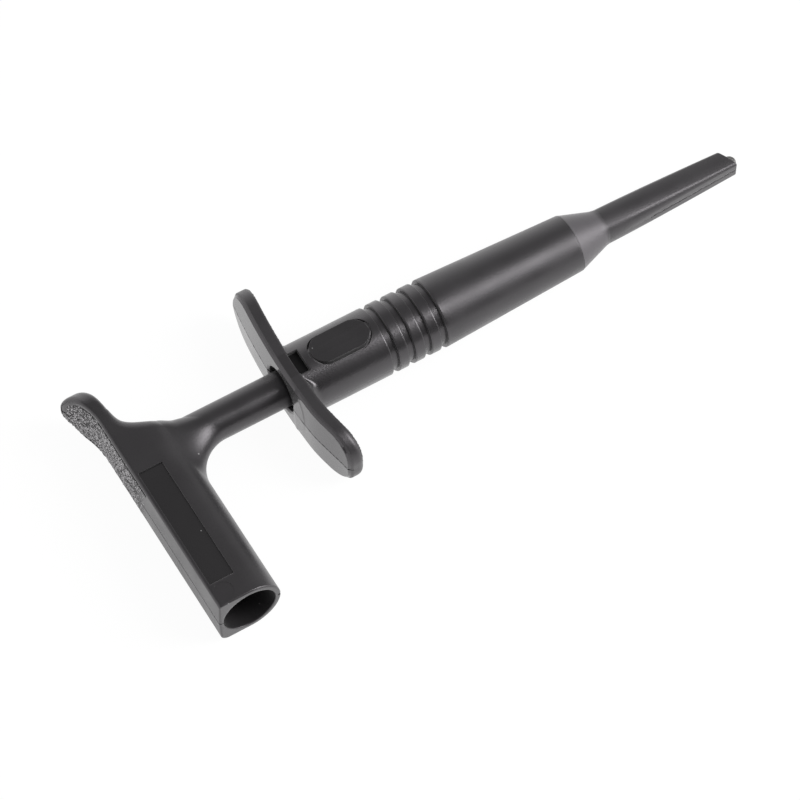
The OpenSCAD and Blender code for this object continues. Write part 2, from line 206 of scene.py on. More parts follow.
def skin(field, lines):
    """Vertices and outward quads on the field's zero surface."""
    values = field(*np.meshgrid(*lines, indexing="ij"))
    cells = np.array([len(line) for line in lines])
    owners, points, quads = [], [], []
    for axis in range(3):
        corner, point, outward = crossings(field, values, lines, axis)
        ring = np.zeros((4, 3), int)
        ring[[0, 3], (axis + 1) % 3] = -1
        ring[[0, 1], (axis + 2) % 3] = -1
        around = np.ravel_multi_index(tuple(np.moveaxis(corner[:, None] + ring, 2, 0)), cells)
        quads.append(np.where(outward[:, None], around, around[:, ::-1]))
        owners.append(around)
        points.append(point)
    owners, points = np.concatenate(owners), np.concatenate(points)
    normals = slope(field, points)
    names, owner = np.unique(owners.ravel(), return_inverse=True)
    owner = owner.reshape(owners.shape)
    count = np.bincount(owner.ravel(), minlength=len(names))

    def gather(values_per_point):
        return np.bincount(owner.ravel(), np.repeat(values_per_point, 4), len(names))

    centre = np.stack([gather(points[:, a]) for a in range(3)], 1) / count[:, None]
    offset = np.einsum("ni,ni->n", normals, points)
    planes = np.empty((len(names), 3, 3))
    goal = np.empty((len(names), 3))
    for a in range(3):
        goal[:, a] = gather(normals[:, a] * offset)
        for b in range(3):
            planes[:, a, b] = gather(normals[:, a] * normals[:, b])
    goal -= np.einsum("nij,nj->ni", planes, centre)
    pull = FLAT_PULL * count[:, None, None] * np.eye(3)
    vertices = centre + np.linalg.solve(planes + pull, goal[:, :, None])[:, :, 0]
    cell = np.stack(np.unravel_index(names, cells), 1)
    for a in range(3):
        vertices[:, a] = np.clip(vertices[:, a], lines[a][cell[:, a]], lines[a][cell[:, a] + 1])
    return vertices, np.searchsorted(names, np.concatenate(quads))


# %% [markdown]
# ## Normals from the field
# Shading shows the smallest unevenness of a mesh. The field knows the true normal everywhere, so
# each face's corners take theirs from it, a little way into the face. Where the corners that
# share a vertex nearly agree they get their average, and elsewhere the edge stays sharp.

# %% Turn a skin into a Blender piece
INTO_FACE = 0.3
AGREE = math.cos(math.radians(20))


def true_normals(mesh, field, vertices):
    """Sets the normal of every face corner from the field."""
    corner = np.empty(len(mesh.loops), int)
    mesh.loops.foreach_get("vertex_index", corner)
    at_corner = vertices[corner].reshape(-1, 4, 3)
    centre = at_corner.mean(axis=1, keepdims=True)
    normals = slope(field, (at_corner + INTO_FACE * (centre - at_corner)).reshape(-1, 3))
    mean = np.stack([np.bincount(corner, normals[:, a], len(vertices)) for a in range(3)], 1)
    mean /= np.maximum(np.linalg.norm(mean, axis=1, keepdims=True), 1e-9)
    astray = np.einsum("ni,ni->n", normals, mean[corner]) < AGREE
    sharp = np.bincount(corner, astray, len(vertices)) > 0
    normals = np.where(sharp[corner][:, None], normals, mean[corner])
    mesh.normals_split_custom_set(normals.tolist())


def new_object(name, data):
    """A new object with that data, in the scene."""
    made = bpy.data.objects.new(name, data)
    scene.collection.objects.link(made)
    return made


def moulding(name, field, lines, masks):
    """Mesh object of a field, in the row frame, with its masks as point attributes."""
    vertices, quads = skin(field, lines)
    mesh = bpy.data.meshes.new(name)
    mesh.from_pydata((vertices * MM + np.array(T_JOINT)).tolist(), [], quads.tolist())
    mesh.validate()
    mesh.shade_smooth()
    true_normals(mesh, field, vertices)
    for mask, function in masks.items():
        layer = mesh.attributes.new(mask, "FLOAT", "POINT")
        layer.data.foreach_set("value", function(*vertices.T).astype(np.float32))
    piece = new_object(name, mesh)
    print(name, len(vertices), "vertices,", len(quads), "quads")
    return piece


# %% [markdown]
# ## The T-handle
# One moulding: a hollow arm that ends in the plug socket, a thumb rest that leans back at the
# other end, and the plunger's shaft. Arm and shaft are two crossing rounds. A ball that rolls
# along their corner leaves the fillet between them, so the fillet is worked out with that ball.
# The sunk panel on top is left bare, and a fine line frames the rough patch on the thumb rest.

# %% Sizes of the handle
ARM_R = handle_high.z
ARM_BACK = 5.5
SHAFT_R = 3.225
BRANCH_R = 7.4
SADDLE_X = 3.5
SADDLE_R = 7.6
SADDLE_RISE = 0.6
SADDLE_Y = SHAFT_R + SADDLE_RISE + SADDLE_R
SADDLE_TOP = 8.0
SADDLE_FILLET = 1.0
SADDLE_EDGE = 2.4
SHAFT_EDGE = 3.0
SHAFT_EDGE_X = (2.0, 6.0)
REST_T = 2.7
REST_END_T = 3.3
REST_THICK_Y = 9.0
REST_END_Y = handle_high.y - 0.45
REST_BEND_Y = 6.3
REST_BEND_R = 13.4
REST_CORNER = 5.2
REST_END_EDGE = 1.3
REST_END_EDGE_Y = (11.0, 14.0)
REST_FRONT_EDGE = 1.0
REST_FRONT_EDGE_Y = (5.0, 10.0)
LEAN_X = -ARM_BACK - REST_BEND_R
MARK_X = -3.3
MARK_Y = -31.1
MARK_R = 1.7
MARK_DEPTH = 0.05
MARK_EDGE = 0.02
BACK_TOP_EDGE = 0.55
BACK_LOW_EDGE = 1.5
BACK_LOW_EDGE_Y = (2.0, 10.0)
BACK_DRAFT = 0.03
BACK_SWELL = 0.09
LINE_IN = 1.0
LINE_HALF = 0.4
LINE_DEPTH = 0.1
LINE_REACH = 1.2
LINE_END_Y = -9.0
SEAM_HALF = 0.08
SEAM_DEPTH = 0.12
SEAM_REACH = 1.0
MOUTH_EDGE = 0.3
NOTCH_R = 0.5
NOTCH_HALF = 0.2
SOCKET_R = 4.8
SOCKET_END = -9.0
CONTACT_R = 2.62
CONTACT_TOP = 2.8
ROD_R = 1.02
ROD_END = -3.0
PANEL_LOW = (-4.65, -28.95)
PANEL_HIGH = (-0.25, -5.05)
PANEL_DEPTH = 0.3
PANEL_EDGE = 0.12
PANEL_CORNER = 0.1
SPIGOT_R = 2.6
SPIGOT_LAP = 1.0
RING_BED = (33.23, 34.07)
RING_BED_R = 2.725
LAND_END = 34.87
HIDDEN_EDGE = 0.05
print("handle", round(handle_high.y - handle_low.y, 1), "mm long")

# %% Arm, thumb rest and shaft


def rest_front(x, y):
    """How far a point lies in front of the thumb rest's front face."""
    thick = REST_T + (REST_END_T - REST_T) * ramp(y, REST_THICK_Y, REST_END_Y)
    leaning = np.hypot(x - LEAN_X, y - REST_BEND_Y) - REST_BEND_R - thick
    return np.where(y > REST_BEND_Y, leaning, x + ARM_BACK - thick)


def rest_back(x, y):
    """How far a point lies behind the flat back of the arm and thumb rest."""
    leaning = REST_BEND_R - np.hypot(x - LEAN_X, y - REST_BEND_Y)
    return np.where(y > REST_BEND_Y, leaning, -ARM_BACK - x)


def rest_outline(y, z):
    """Sides and rounded end of the thumb rest, seen from behind."""
    past_y = np.maximum(y - REST_END_Y + REST_CORNER, 0)
    past_z = np.maximum(np.abs(z) - ARM_R + REST_CORNER, 0)
    return np.maximum(np.hypot(past_y, past_z) - REST_CORNER, np.abs(z) - ARM_R)


def crossing_rounds(arm, shaft, x, y, z):
    """Arm and shaft with the fillet of a rolling ball in their corner."""
    leg = np.maximum(np.hypot(np.maximum(x, 0), z) * np.hypot(y, z), 1e-9)
    facing = np.clip(z * z / leg, 0, 1 - 1e-6)
    from_arm, from_shaft = BRANCH_R - arm, BRANCH_R - shaft
    along_arm = (from_arm - from_shaft * facing) / (1 - facing ** 2)
    along_shaft = (from_shaft - from_arm * facing) / (1 - facing ** 2)
    reach = along_arm ** 2 + along_shaft ** 2 + 2 * along_arm * along_shaft * facing
    in_corner = (along_arm > 0) & (along_shaft > 0)
    ball = BRANCH_R - np.sqrt(np.where(in_corner, reach, 0))
    return np.where(in_corner, ball, np.minimum(arm, shaft))


def arm_and_shaft(x, y, z):
    """Arm, thumb rest and shaft, solid."""
    arm = np.hypot(np.maximum(x, 0), z) - ARM_R
    shaft = np.maximum(np.hypot(y, z) - SHAFT_R, -x)
    solid = np.maximum(crossing_rounds(arm, shaft, x, y, z), rest_outline(y, z))
    bowl = SADDLE_R - np.hypot(x - SADDLE_X, y - SADDLE_Y)
    run_out = SHAFT_R + SADDLE_RISE * (1 - ramp(x, SADDLE_X, SHAFT_EDGE_X[1]))
    bowl = np.where(x > SADDLE_X, y - run_out, np.maximum(bowl, y - SADDLE_TOP))
    crown = joined(rest_front(x, y), bowl, SADDLE_FILLET)
    edge = SADDLE_EDGE + (SHAFT_EDGE - SADDLE_EDGE) * ramp(x, *SHAFT_EDGE_X)
    edge = edge + (REST_FRONT_EDGE - edge) * ramp(y, *REST_FRONT_EDGE_Y)
    solid = np.minimum(trimmed(solid, crown, edge), shaft)
    low_edge = BACK_LOW_EDGE + (BACK_TOP_EDGE - BACK_LOW_EDGE) * ramp(y, *BACK_LOW_EDGE_Y)
    edge = np.where(z < 0, low_edge, BACK_TOP_EDGE)
    edge = edge + (REST_END_EDGE - edge) * ramp(y, *REST_END_EDGE_Y)
    back = rest_back(x, y) + BACK_DRAFT * np.abs(z) - BACK_SWELL
    return trimmed(solid, back, edge)


# %% The whole handle


def seamed(solid, z, limit):
    """Cuts the mould's parting line into the surface, where the limit is negative."""
    return without(solid, shared(np.abs(z) - SEAM_HALF, -solid - SEAM_DEPTH, limit))


def border_line(y, z):
    """The fine line round the thumb rest's grain, negative inside it."""
    return np.maximum(np.abs(rest_outline(y, z) + LINE_IN) - LINE_HALF, LINE_END_Y - y)


def handle_field(x, y, z):
    """The whole handle moulding."""
    from_axis = np.hypot(y, z)
    from_socket = np.hypot(x, z)
    solid = trimmed(arm_and_shaft(x, y, z), handle_low.y - y, MOUTH_EDGE)
    solid = seamed(solid, z, x + ARM_BACK - SEAM_REACH)
    behind = -LINE_REACH - rest_back(x, y)
    solid = without(solid, shared(border_line(y, z), -LINE_DEPTH - solid, behind))
    notch = np.hypot(x - ARM_R, y - handle_low.y) - NOTCH_R
    solid = without(solid, shared(np.abs(z) - NOTCH_HALF, notch))
    solid = shared(solid, x - LAND_END)
    spigot = shared(from_axis - SPIGOT_R, x - handle_high.x, LAND_END - SPIGOT_LAP - x)
    solid = np.minimum(solid, spigot)
    solid = without(solid, shared(RING_BED[0] - x, x - RING_BED[1], RING_BED_R - from_axis))
    solid = without(solid, shared(from_axis - ROD_R, ROD_END - x))
    solid = without(solid, shared(from_socket - CONTACT_R, y - CONTACT_TOP))
    solid = cut(solid, shared(from_socket - SOCKET_R, y - SOCKET_END), MOUTH_EDGE / 2)
    mark = np.hypot(x - MARK_X, y - MARK_Y) - MARK_R
    solid = cut(solid, shared(mark, ARM_R - MARK_DEPTH - z), MARK_EDGE)
    half_x = (PANEL_HIGH[0] - PANEL_LOW[0]) / 2
    half_y = (PANEL_HIGH[1] - PANEL_LOW[1]) / 2
    from_x, from_y = x - PANEL_LOW[0] - half_x, y - PANEL_LOW[1] - half_y
    panel = rounded_rect(from_x, from_y, half_x, half_y, PANEL_CORNER)
    return cut(solid, shared(panel, ARM_R - PANEL_DEPTH - z), PANEL_EDGE)


# %% Where the handle's finish changes
PATCH_DEPTH = (0.1, 0.5)
PATCH_MARGIN = (-1.6, -1.2)
PATCH_FADE_Y = (-9.0, -3.0)
PATCH_ROUGH = 0.4
PANEL_FLOOR = ARM_R - PANEL_DEPTH * 0.6
PANEL_SMOOTH = 0.13
BORDER_DEPTH = 0.6
SKIN_ROUGH = 0.02
BACK_ROUGH = 0.08
BACK_DEPTH = 0.3
BRANCH_ROUGH = 0.12
BRANCH_SPOT = (6.0, -4.0)
BRANCH_FADE = (2.0, 6.0)


def handle_speckle(x, y, z):
    """Spark-eroded patch on the back of the thumb rest, which fades out down the arm."""
    on_back = 1 - ramp(-rest_back(x, y), *PATCH_DEPTH)
    inside = 1 - ramp(rest_outline(y, z), *PATCH_MARGIN)
    return on_back * inside * ramp(y, *PATCH_FADE_Y)


def handle_shade(x, y, z):
    """The panel's floor and the thumb patch's border line, where shade is painted: darker than the skin
    round them.
    """
    inside = (x > PANEL_LOW[0]) & (x < PANEL_HIGH[0]) & (y > PANEL_LOW[1]) & (y < PANEL_HIGH[1])
    border = (border_line(y, z) < 0) & (rest_back(x, y) > -BORDER_DEPTH)
    return (inside & (z > 0) & (z < PANEL_FLOOR) | border) * 1.0


def handle_shine(x, y, z):
    """Added roughness: more on the back, the branch and the thumb patch, less on dark places."""
    from_branch = np.hypot(x - BRANCH_SPOT[0], y - BRANCH_SPOT[1])
    rough = SKIN_ROUGH + BACK_ROUGH * (rest_back(x, y) > -BACK_DEPTH)
    rough += BRANCH_ROUGH * (1 - ramp(from_branch, *BRANCH_FADE))
    return rough + PATCH_ROUGH * handle_speckle(x, y, z) - PANEL_SMOOTH * handle_shade(x, y, z)


# %% Make the handle
# Runs of (start, end, step) along X, Y and Z, which start and end just outside the moulding.
handle_lines = (
    grid_lines((-9.6, 12.6, 0.22), (12.6, 33.0, 0.8), (33.0, 34.3, 0.13), (34.3, 41.4, 0.5)),
    grid_lines((-34.0, 16.7, 0.22)),
    grid_lines(
        (-6.3, -0.3, 0.22), (-0.3, 0.3, 0.06), (0.3, 4.9, 0.23), (4.9, 6.0, 0.11), (6.0, 6.3, 0.15),
    ),
)
handle = moulding("handle_moulding", handle_field, handle_lines, {
    "speckle": handle_speckle, "shade": handle_shade, "shine": handle_shine,
})

# %% [markdown]
# ## The barrel
# One moulding again: a tube with the finger flange at its rear, four grip grooves, and a tapered
# front. The flange's wings bow forwards, and their rear face is a shallow roof, because the mould
# opens along the tool's middle. On top are the window that the guide bush latches into, and a flat
# oval in a fine moat, which is left bare.

# %% Sizes of the barrel
BARREL_R = 6.225
BORE_R = 4.2
FLANGE_T = 2.3
FLANGE_LOW_GAIN = 1.0
FLANGE_LOW_GAIN_Y = 8.0
FLANGE_SWEEP = 1.4
FLANGE_LOW_SWEEP = 0.8
FLANGE_LOW_SWEEP_Y = (9.0, 19.0)
FLANGE_LOW_REACH = 0.4
FLANGE_MID_Y = -1.2
FLANGE_TOP_CORNER = 6.1
FLANGE_LOW_CORNER = 5.4
FLANGE_EDGE = 0.5
FLANGE_REAR_EDGE = 0.32
FLANGE_TIP_GAIN = 0.8
FLANGE_TIP_Y = (9.0, 18.0)
TOP_TIP_SHARE = 0.3
REAR_TIP_SHARE = 0.5
FLANGE_CHAMFER = 0.6
FLANGE_ROOF = 0.3
FLANGE_REAR = 0.28
FLANGE_FILLET = 1.2
FLANGE_LOW_FILLET = 2.0
FLANGE_FILLET_Y = (2.5, 5.0)
MOUTH_ROUND = 0.4
GROOVE_X = barrel_low.x + 17.95
GROOVE_N = 4
GROOVE_PITCH = 3.13
GROOVE_W = 1.2
GROOVE_DEPTH = 0.6
GROOVE_EDGE = 0.22
FRONT_X = GROOVE_X + (GROOVE_N - 1) * GROOVE_PITCH + GROOVE_W
FRONT_ROOT_R = 6.3
FRONT_R = 5.2
FRONT_EDGE = 0.12
OVAL_X = barrel_low.x + 5.6
OVAL_LEN = 10.8
OVAL_W = 5.5
OVAL_Z = 6.18
OVAL_EDGE = 0.05
OVAL_ROOT = 0.5
MOAT_HALF = 0.2
MOAT_DEPTH = 0.45
MOAT_END_DEPTH = 0.16
MOAT_Y = (0.5, 2.2)
WINDOW_X = barrel_low.x + 2.1
WINDOW_LEN = 1.95
WINDOW_W = 4.4
WINDOW_EDGE = 0.1
BOW_R = (barrel_high.y ** 2 + FLANGE_SWEEP ** 2) / (2 * FLANGE_SWEEP)
print("wings bowed to a radius of", round(BOW_R, 1), "mm")

# %% The finger flange


def flange_front(x, y):
    """How far a point lies in front of the flange's front face."""
    thick = FLANGE_T + FLANGE_LOW_GAIN * ramp(-y, FLANGE_LOW_GAIN_Y, barrel_high.y)
    return BOW_R - thick - np.hypot(x - barrel_low.x - BOW_R, y - FLANGE_MID_Y)


def flange_outline(y, z):
    """The two wings, seen along the tool."""
    corner = np.where(y > 0, FLANGE_TOP_CORNER, FLANGE_LOW_CORNER)
    reach = np.where(y > 0, barrel_high.y, barrel_high.y + FLANGE_LOW_REACH)
    return rounded_rect(y, z, reach, barrel_high.z, corner)


def flange_field(x, y, z):
    """Two wings in one bowed plate with round corners."""
    outline = flange_outline(y, z)
    roof = FLANGE_REAR + FLANGE_ROOF * (1 - np.abs(z) / barrel_high.z)
    rear = np.hypot(x - barrel_low.x - BOW_R, y - FLANGE_MID_Y) - BOW_R - roof
    rear = rear + FLANGE_LOW_SWEEP * ramp(-y, *FLANGE_LOW_SWEEP_Y)
    near_tip = ramp(-y, *FLANGE_TIP_Y) + TOP_TIP_SHARE * ramp(y, *FLANGE_TIP_Y)
    tip_gain = FLANGE_TIP_GAIN * near_tip
    plate = trimmed(outline, rear, FLANGE_REAR_EDGE + REAR_TIP_SHARE * tip_gain)
    plate = np.maximum(plate, (outline + rear + FLANGE_CHAMFER) * math.sqrt(0.5))
    return trimmed(plate, flange_front(x, y), FLANGE_EDGE + tip_gain)


# %% The whole barrel


def oval_outline(x, y):
    """Stadium on top of the barrel."""
    middle_x = OVAL_X + OVAL_LEN / 2
    return rounded_rect(x - middle_x, y, OVAL_LEN / 2, OVAL_W / 2, OVAL_W / 2 - 0.001)


def barrel_field(x, y, z):
    """The whole barrel moulding."""
    radius = np.hypot(y, z)
    along = np.clip((x - FRONT_X) / (barrel_high.x - FRONT_X), 0, 1)
    taper = FRONT_ROOT_R + (FRONT_R - FRONT_ROOT_R) * along
    outer = radius - np.where(x < FRONT_X - GROOVE_W / 2, BARREL_R, taper)
    solid = trimmed(outer, x - barrel_high.x, FRONT_EDGE)
    for index in range(GROOVE_N):
        groove_mid = GROOVE_X + index * GROOVE_PITCH + GROOVE_W / 2
        groove = shared(np.abs(x - groove_mid) - GROOVE_W / 2, BARREL_R - GROOVE_DEPTH - radius)
        solid = cut(solid, groove, GROOVE_EDGE)
    solid = shared(solid, barrel_low.x + FLANGE_T / 2 - x)
    fillet = np.where(y > 0, FLANGE_FILLET, FLANGE_LOW_FILLET) * ramp(np.abs(y), *FLANGE_FILLET_Y)
    solid = joined(solid, flange_field(x, y, z), fillet + HIDDEN_EDGE)
    solid = seamed(solid, z, x - barrel_low.x - FLANGE_T)
    oval = oval_outline(x, y)
    pad = shared(oval, BORE_R + OVAL_ROOT - z)
    solid = np.minimum(solid, trimmed(pad, z - OVAL_Z, OVAL_EDGE))
    solid = cut(solid, shared(oval, OVAL_Z - z), OVAL_EDGE)
    foot = np.abs(oval - MOAT_HALF) - MOAT_HALF
    deepening = (MOAT_DEPTH - MOAT_END_DEPTH) * ramp(np.abs(y), *MOAT_Y)
    floor = BARREL_R - MOAT_END_DEPTH - deepening
    solid = without(solid, shared(foot, floor - radius, -z))
    window_mid = WINDOW_X + WINDOW_LEN / 2
    window = shared(np.abs(x - window_mid) - WINDOW_LEN / 2, np.abs(y) - WINDOW_W / 2)
    solid = cut(solid, window, WINDOW_EDGE)
    mouth_edge = np.where(x < WINDOW_X, MOUTH_ROUND, FRONT_EDGE)
    return cut(solid, radius - BORE_R, mouth_edge)


# %% Where the barrel's finish changes
GRAIN_DEPTH = (0.1, 0.6)
GRAIN_MARGIN = (-1.0, -0.5)
GRAIN_TOP_GAIN = 0.45
GRAIN_FOOT = (7.4, 8.4)
WALL_SLACK = 0.03
WALL_DEPTH = 0.12
OVAL_SLACK = 0.05
OVAL_SHADE = 0.5
REAR_MARGIN = 0.3
MOUTH_MARGIN = 0.5
RIM_RISE = 0.6
FRONT_ROUGH = 0.12
RIM_ROUGH = 0.14
REAR_SMOOTH = 0.18
WINDOW_ROUGH = 0.4


def barrel_speckle(x, y, z):
    """Spark-eroded front faces of the two wings."""
    near = 1 - ramp(np.abs(flange_front(x, y)), *GRAIN_DEPTH)
    inside = 1 - ramp(flange_outline(y, z) - GRAIN_TOP_GAIN * (z > 0), *GRAIN_MARGIN)
    return near * inside * ramp(np.hypot(y, z), *GRAIN_FOOT)


def in_window(x, y, z):
    """Whether a point lies on the upper window's walls."""
    along = np.abs(x - WINDOW_X - WINDOW_LEN / 2) < WINDOW_LEN / 2 + WALL_SLACK
    inside = along & (np.abs(y) < WINDOW_W / 2 + WALL_SLACK)
    return inside & (z > 0) & (np.hypot(y, z) < BARREL_R - WALL_DEPTH)


def barrel_shade(x, y, z):
    """The flat oval and the window's walls, where shade is painted: darker than the skin round them."""
    on_oval = (np.abs(z - OVAL_Z) < OVAL_SLACK) & (oval_outline(x, y) < 0)
    return on_oval * OVAL_SHADE + in_window(x, y, z) * 1.0


def barrel_shine(x, y, z):
    """Added roughness: more on the front, the wings' rims and the window, less on the wings' rear."""
    radius = np.hypot(y, z)
    behind = (flange_front(x, y) < -FLANGE_T / 2) & (flange_outline(y, z) < -REAR_MARGIN)
    polished = behind & (radius > BORE_R + MOUTH_MARGIN)
    rim = (radius > BARREL_R + RIM_RISE) & ~polished
    front = FRONT_ROUGH * ramp(x, FRONT_X, FRONT_X + 1)
    return front + RIM_ROUGH * rim - REAR_SMOOTH * polished + WINDOW_ROUGH * in_window(x, y, z)


# %% Make the barrel
# The lines are close at the grooves' edges, the oval, the window and the parting line.
NEAR_EDGE = 0.35
groove_runs = []
for index in range(GROOVE_N):
    rear = GROOVE_X + index * GROOVE_PITCH
    front = rear + GROOVE_W
    groove_runs += [
        (rear - NEAR_EDGE, rear + NEAR_EDGE, 0.14), (rear + NEAR_EDGE, front - NEAR_EDGE, 0.25),
        (front - NEAR_EDGE, front + NEAR_EDGE, 0.14),
        (front + NEAR_EDGE, rear + GROOVE_PITCH - NEAR_EDGE, 0.32),
    ]
barrel_lines = (
    grid_lines(
        (24.2, 28.4, 0.18), (28.4, 30.0, 0.25), (30.0, 33.2, 0.16), (33.2, 38.4, 0.5),
        (38.4, 41.6, 0.16), (41.6, groove_runs[0][0], 0.25), *groove_runs,
        (groove_runs[-1][1], 80.6, 1.3), (80.6, 82.0, 0.2),
    ),
    grid_lines(
        (-19.8, -7.0, 0.26), (-7.0, -3.4, 0.24), (-3.4, 3.4, 0.17), (3.4, 7.0, 0.24), (7.0, 19.8, 0.26),
    ),
    grid_lines(
        (-7.0, -0.3, 0.26), (-0.3, 0.3, 0.075), (0.3, 4.4, 0.24), (4.4, 6.4, 0.16), (6.4, 7.0, 0.2),
    ),
)
barrel = moulding("barrel_moulding", barrel_field, barrel_lines, {
    "speckle": barrel_speckle, "shade": barrel_shade, "shine": barrel_shine,
})

# %% [markdown]
# ## The nose
# The nose is a moulding of its own: a spigot inside the barrel, a cone, and a slim stem, crowned
# above and below, that narrows to a blunt tip. Its end is slanted. A slot along its middle lets
# the hook slide, and a fine slit opens the slot on one side.

# %% Sizes of the nose
CONE_END = barrel_high.x + 6.25
STEM_ROOT_R = 3.12
ROOT_HALF_W = 3.05
TIP_HALF_W = 1.9
TIP_HALF_H = 1.95
TIP_SLANT = 1.65
CROWN_ROOT_R = 4.0
CROWN_TIP_R = 8.0
STEM_ROOT_EDGE = 1.2
STEM_TIP_EDGE = 0.45
TIP_EDGE = 0.25
SLOT_X = nose_high.x - 18.0
SLOT_HALF = 0.54
SLOT_Y = 1.32
SLIT_HALF = 0.13
SLIT_Y = -1.3
NOSE_SPIGOT_R = 4.18
SLOT_EDGE = 0.06
NOSE_BORE_R = 1.05
NOSE_LAP = 0.5
CONE_FILLET = 0.3
CONE_FADE = (-0.6, 0.3)
print("nose", round(nose_high.x - nose_low.x, 1), "mm long")

# %% The whole nose


def nose_field(x, y, z):
    """The whole nose moulding."""
    radius = np.hypot(y, z)
    cone_share = (x - barrel_high.x) / (CONE_END - barrel_high.x)
    cone = radius - (FRONT_R + (STEM_ROOT_R - FRONT_R) * cone_share)
    cone = shared(cone, x - CONE_END, barrel_high.x - x)
    share = np.clip((x - CONE_END) / (nose_high.x - CONE_END), 0, 1)
    crown_r = CROWN_ROOT_R + (CROWN_TIP_R - CROWN_ROOT_R) * share
    half_height = STEM_ROOT_R + (TIP_HALF_H - STEM_ROOT_R) * share
    stem = np.hypot(y, np.abs(z) + crown_r - half_height) - crown_r
    edge = STEM_ROOT_EDGE + (STEM_TIP_EDGE - STEM_ROOT_EDGE) * share
    half_width = ROOT_HALF_W + (TIP_HALF_W - ROOT_HALF_W) * share
    stem = trimmed(stem, np.abs(y) - half_width, edge)
    slant_run = math.hypot(2 * TIP_HALF_W, TIP_SLANT)
    slant = ((x - nose_high.x) * 2 * TIP_HALF_W + (y + TIP_HALF_W) * TIP_SLANT) / slant_run
    stem = shared(trimmed(stem, slant, TIP_EDGE), barrel_high.x - x)
    spigot = shared(radius - NOSE_SPIGOT_R, nose_low.x - x, x - barrel_high.x - NOSE_LAP)
    solid = np.minimum(joined(cone, stem, CONE_FILLET), spigot)
    solid = without(solid, shared(radius - NOSE_BORE_R, x - SLOT_X))
    channel = shared(np.abs(z) - SLOT_HALF, y - SLOT_Y, SLIT_Y - y)
    slit = shared(np.abs(z) - SLIT_HALF, y)
    return cut(solid, shared(np.minimum(channel, slit), SLOT_X - x), SLOT_EDGE)


def nose_shade(x, y, z):
    """The cone, which a coarser mould has frosted, up to the stem."""
    return 1 - ramp(x - CONE_END, *CONE_FADE)


# %% Make the nose
# The lines are close along the slot and the slanted tip.
nose_lines = (
    grid_lines((73.0, 81.0, 0.4), (81.0, 88.5, 0.25), (88.5, 99.0, 0.3), (99.0, 115.0, 0.16)),
    grid_lines((-5.6, 5.6, 0.13)),
    grid_lines((-5.6, 5.6, 0.13)),
)
nose = moulding("nose_moulding", nose_field, nose_lines, {"shade": nose_shade})

# %% [markdown]
# ## The camera
# A product photo of a small tool is taken from well back with a long lens, from above and a
# little to the left, so that parallel edges stay nearly parallel.

# %% Set the camera
AZIMUTH = math.radians(30.499)
ELEVATION = math.radians(59.4)
ROLL = math.radians(-0.2)
DISTANCE_MM = 685.25
LENS_MM = 185.11
SENSOR_MM = 36.0
AIM_MM = (40.937, -11.949, 0.0)

towards = Vector((
    -math.sin(AZIMUTH) * math.cos(ELEVATION),
    -math.cos(AZIMUTH) * math.cos(ELEVATION),
    math.sin(ELEVATION),
))
camera_data = bpy.data.cameras.new("camera")
camera_data.sensor_width = SENSOR_MM
camera_data.lens = LENS_MM
camera_data.clip_start = 0.05
camera_data.clip_end = 20.0
camera = new_object("camera", camera_data)
camera.rotation_mode = "QUATERNION"
camera.location = on_bench(*AIM_MM) + towards * DISTANCE_MM * MM
upright = (-towards).to_track_quat("-Z", "Y")
camera.rotation_quaternion = upright @ Matrix.Rotation(ROLL, 3, "Z").to_quaternion()
scene.camera = camera
print("camera at", [round(value, 4) for value in camera.location])

# %% [markdown]
# ## Building node trees in code
# Every finish, lamp wall and wire below is a tree of nodes. One helper adds a node, sets what it
# is told, and links an input when it is handed another node's output. Another makes a group with
# named inputs and outputs.

# %% Helpers for node trees
SOCKETS = {float: "NodeSocketFloat", int: "NodeSocketInt", tuple: "NodeSocketVector"}
RESULTS = {"ShaderNodeTree": "NodeSocketFloat", "GeometryNodeTree": "NodeSocketGeometry"}


def add(tree, kind, settings=None, **sockets):
    """Adds a node. A name like Noise_Scale or in_0 gives an input a value or a link."""
    made = tree.nodes.new(kind)
    for name, value in (settings or {}).items():
        setattr(made, name, value)
    for name, value in sockets.items():
        key = int(name[3:]) if name.startswith("in_") else name.replace("_", " ")
        if isinstance(value, bpy.types.NodeSocket):
            tree.links.new(value, made.inputs[key])
        else:
            made.inputs[key].default_value = value
    return made


def maths(tree, operation, a, b=0.0):
    """One sum on two values."""
    return add(tree, "ShaderNodeMath", {"operation": operation}, in_0=a, in_1=b).outputs[0]


def between(tree, value, start, end, low=0.0, high=1.0):
    """Maps a value from start..end to low..high with soft ends, and stays there outside."""
    settings = {"interpolation_type": "SMOOTHSTEP"}
    mapped = add(
        tree, "ShaderNodeMapRange", settings,
        Value=value, From_Min=start, From_Max=end, To_Min=low, To_Max=high,
    )
    return mapped.outputs["Result"]


def new_group(name, kind, inputs, outputs):
    """Empty node group. Each named input has a default value, or says its type of socket."""
    group = bpy.data.node_groups.new(name, kind)
    for label, default in inputs.items():
        plain = not isinstance(default, str)
        socket_type = SOCKETS[type(default)] if plain else default
        socket = group.interface.new_socket(label, in_out="INPUT", socket_type=socket_type)
        if plain:
            socket.default_value = default
    for label in outputs:
        group.interface.new_socket(label, in_out="OUTPUT", socket_type=RESULTS[kind])
    ends = group.nodes.new("NodeGroupInput"), group.nodes.new("NodeGroupOutput")
    return group, ends[0].outputs, ends[1].inputs


def new_material(name):
    """A material whose tree is emptied, with its output node."""
    material = bpy.data.materials.new(name)
    material.use_nodes = True
    tree = material.node_tree
    tree.nodes.clear()
    return material, tree, tree.nodes.new("ShaderNodeOutputMaterial")


# %% [markdown]
# ## Studio light
# The tool lies on a white table in a light tent. Two soft lamps stand near it, to the right of the
# camera, and the table and walls give the rest. Glossy black plastic is mostly what it reflects,
# so the tent's walls matter: bright near the table, dimmer overhead, and dim on the two open
# sides, where the photographer and the lamps stand. The camera itself sees plain white.

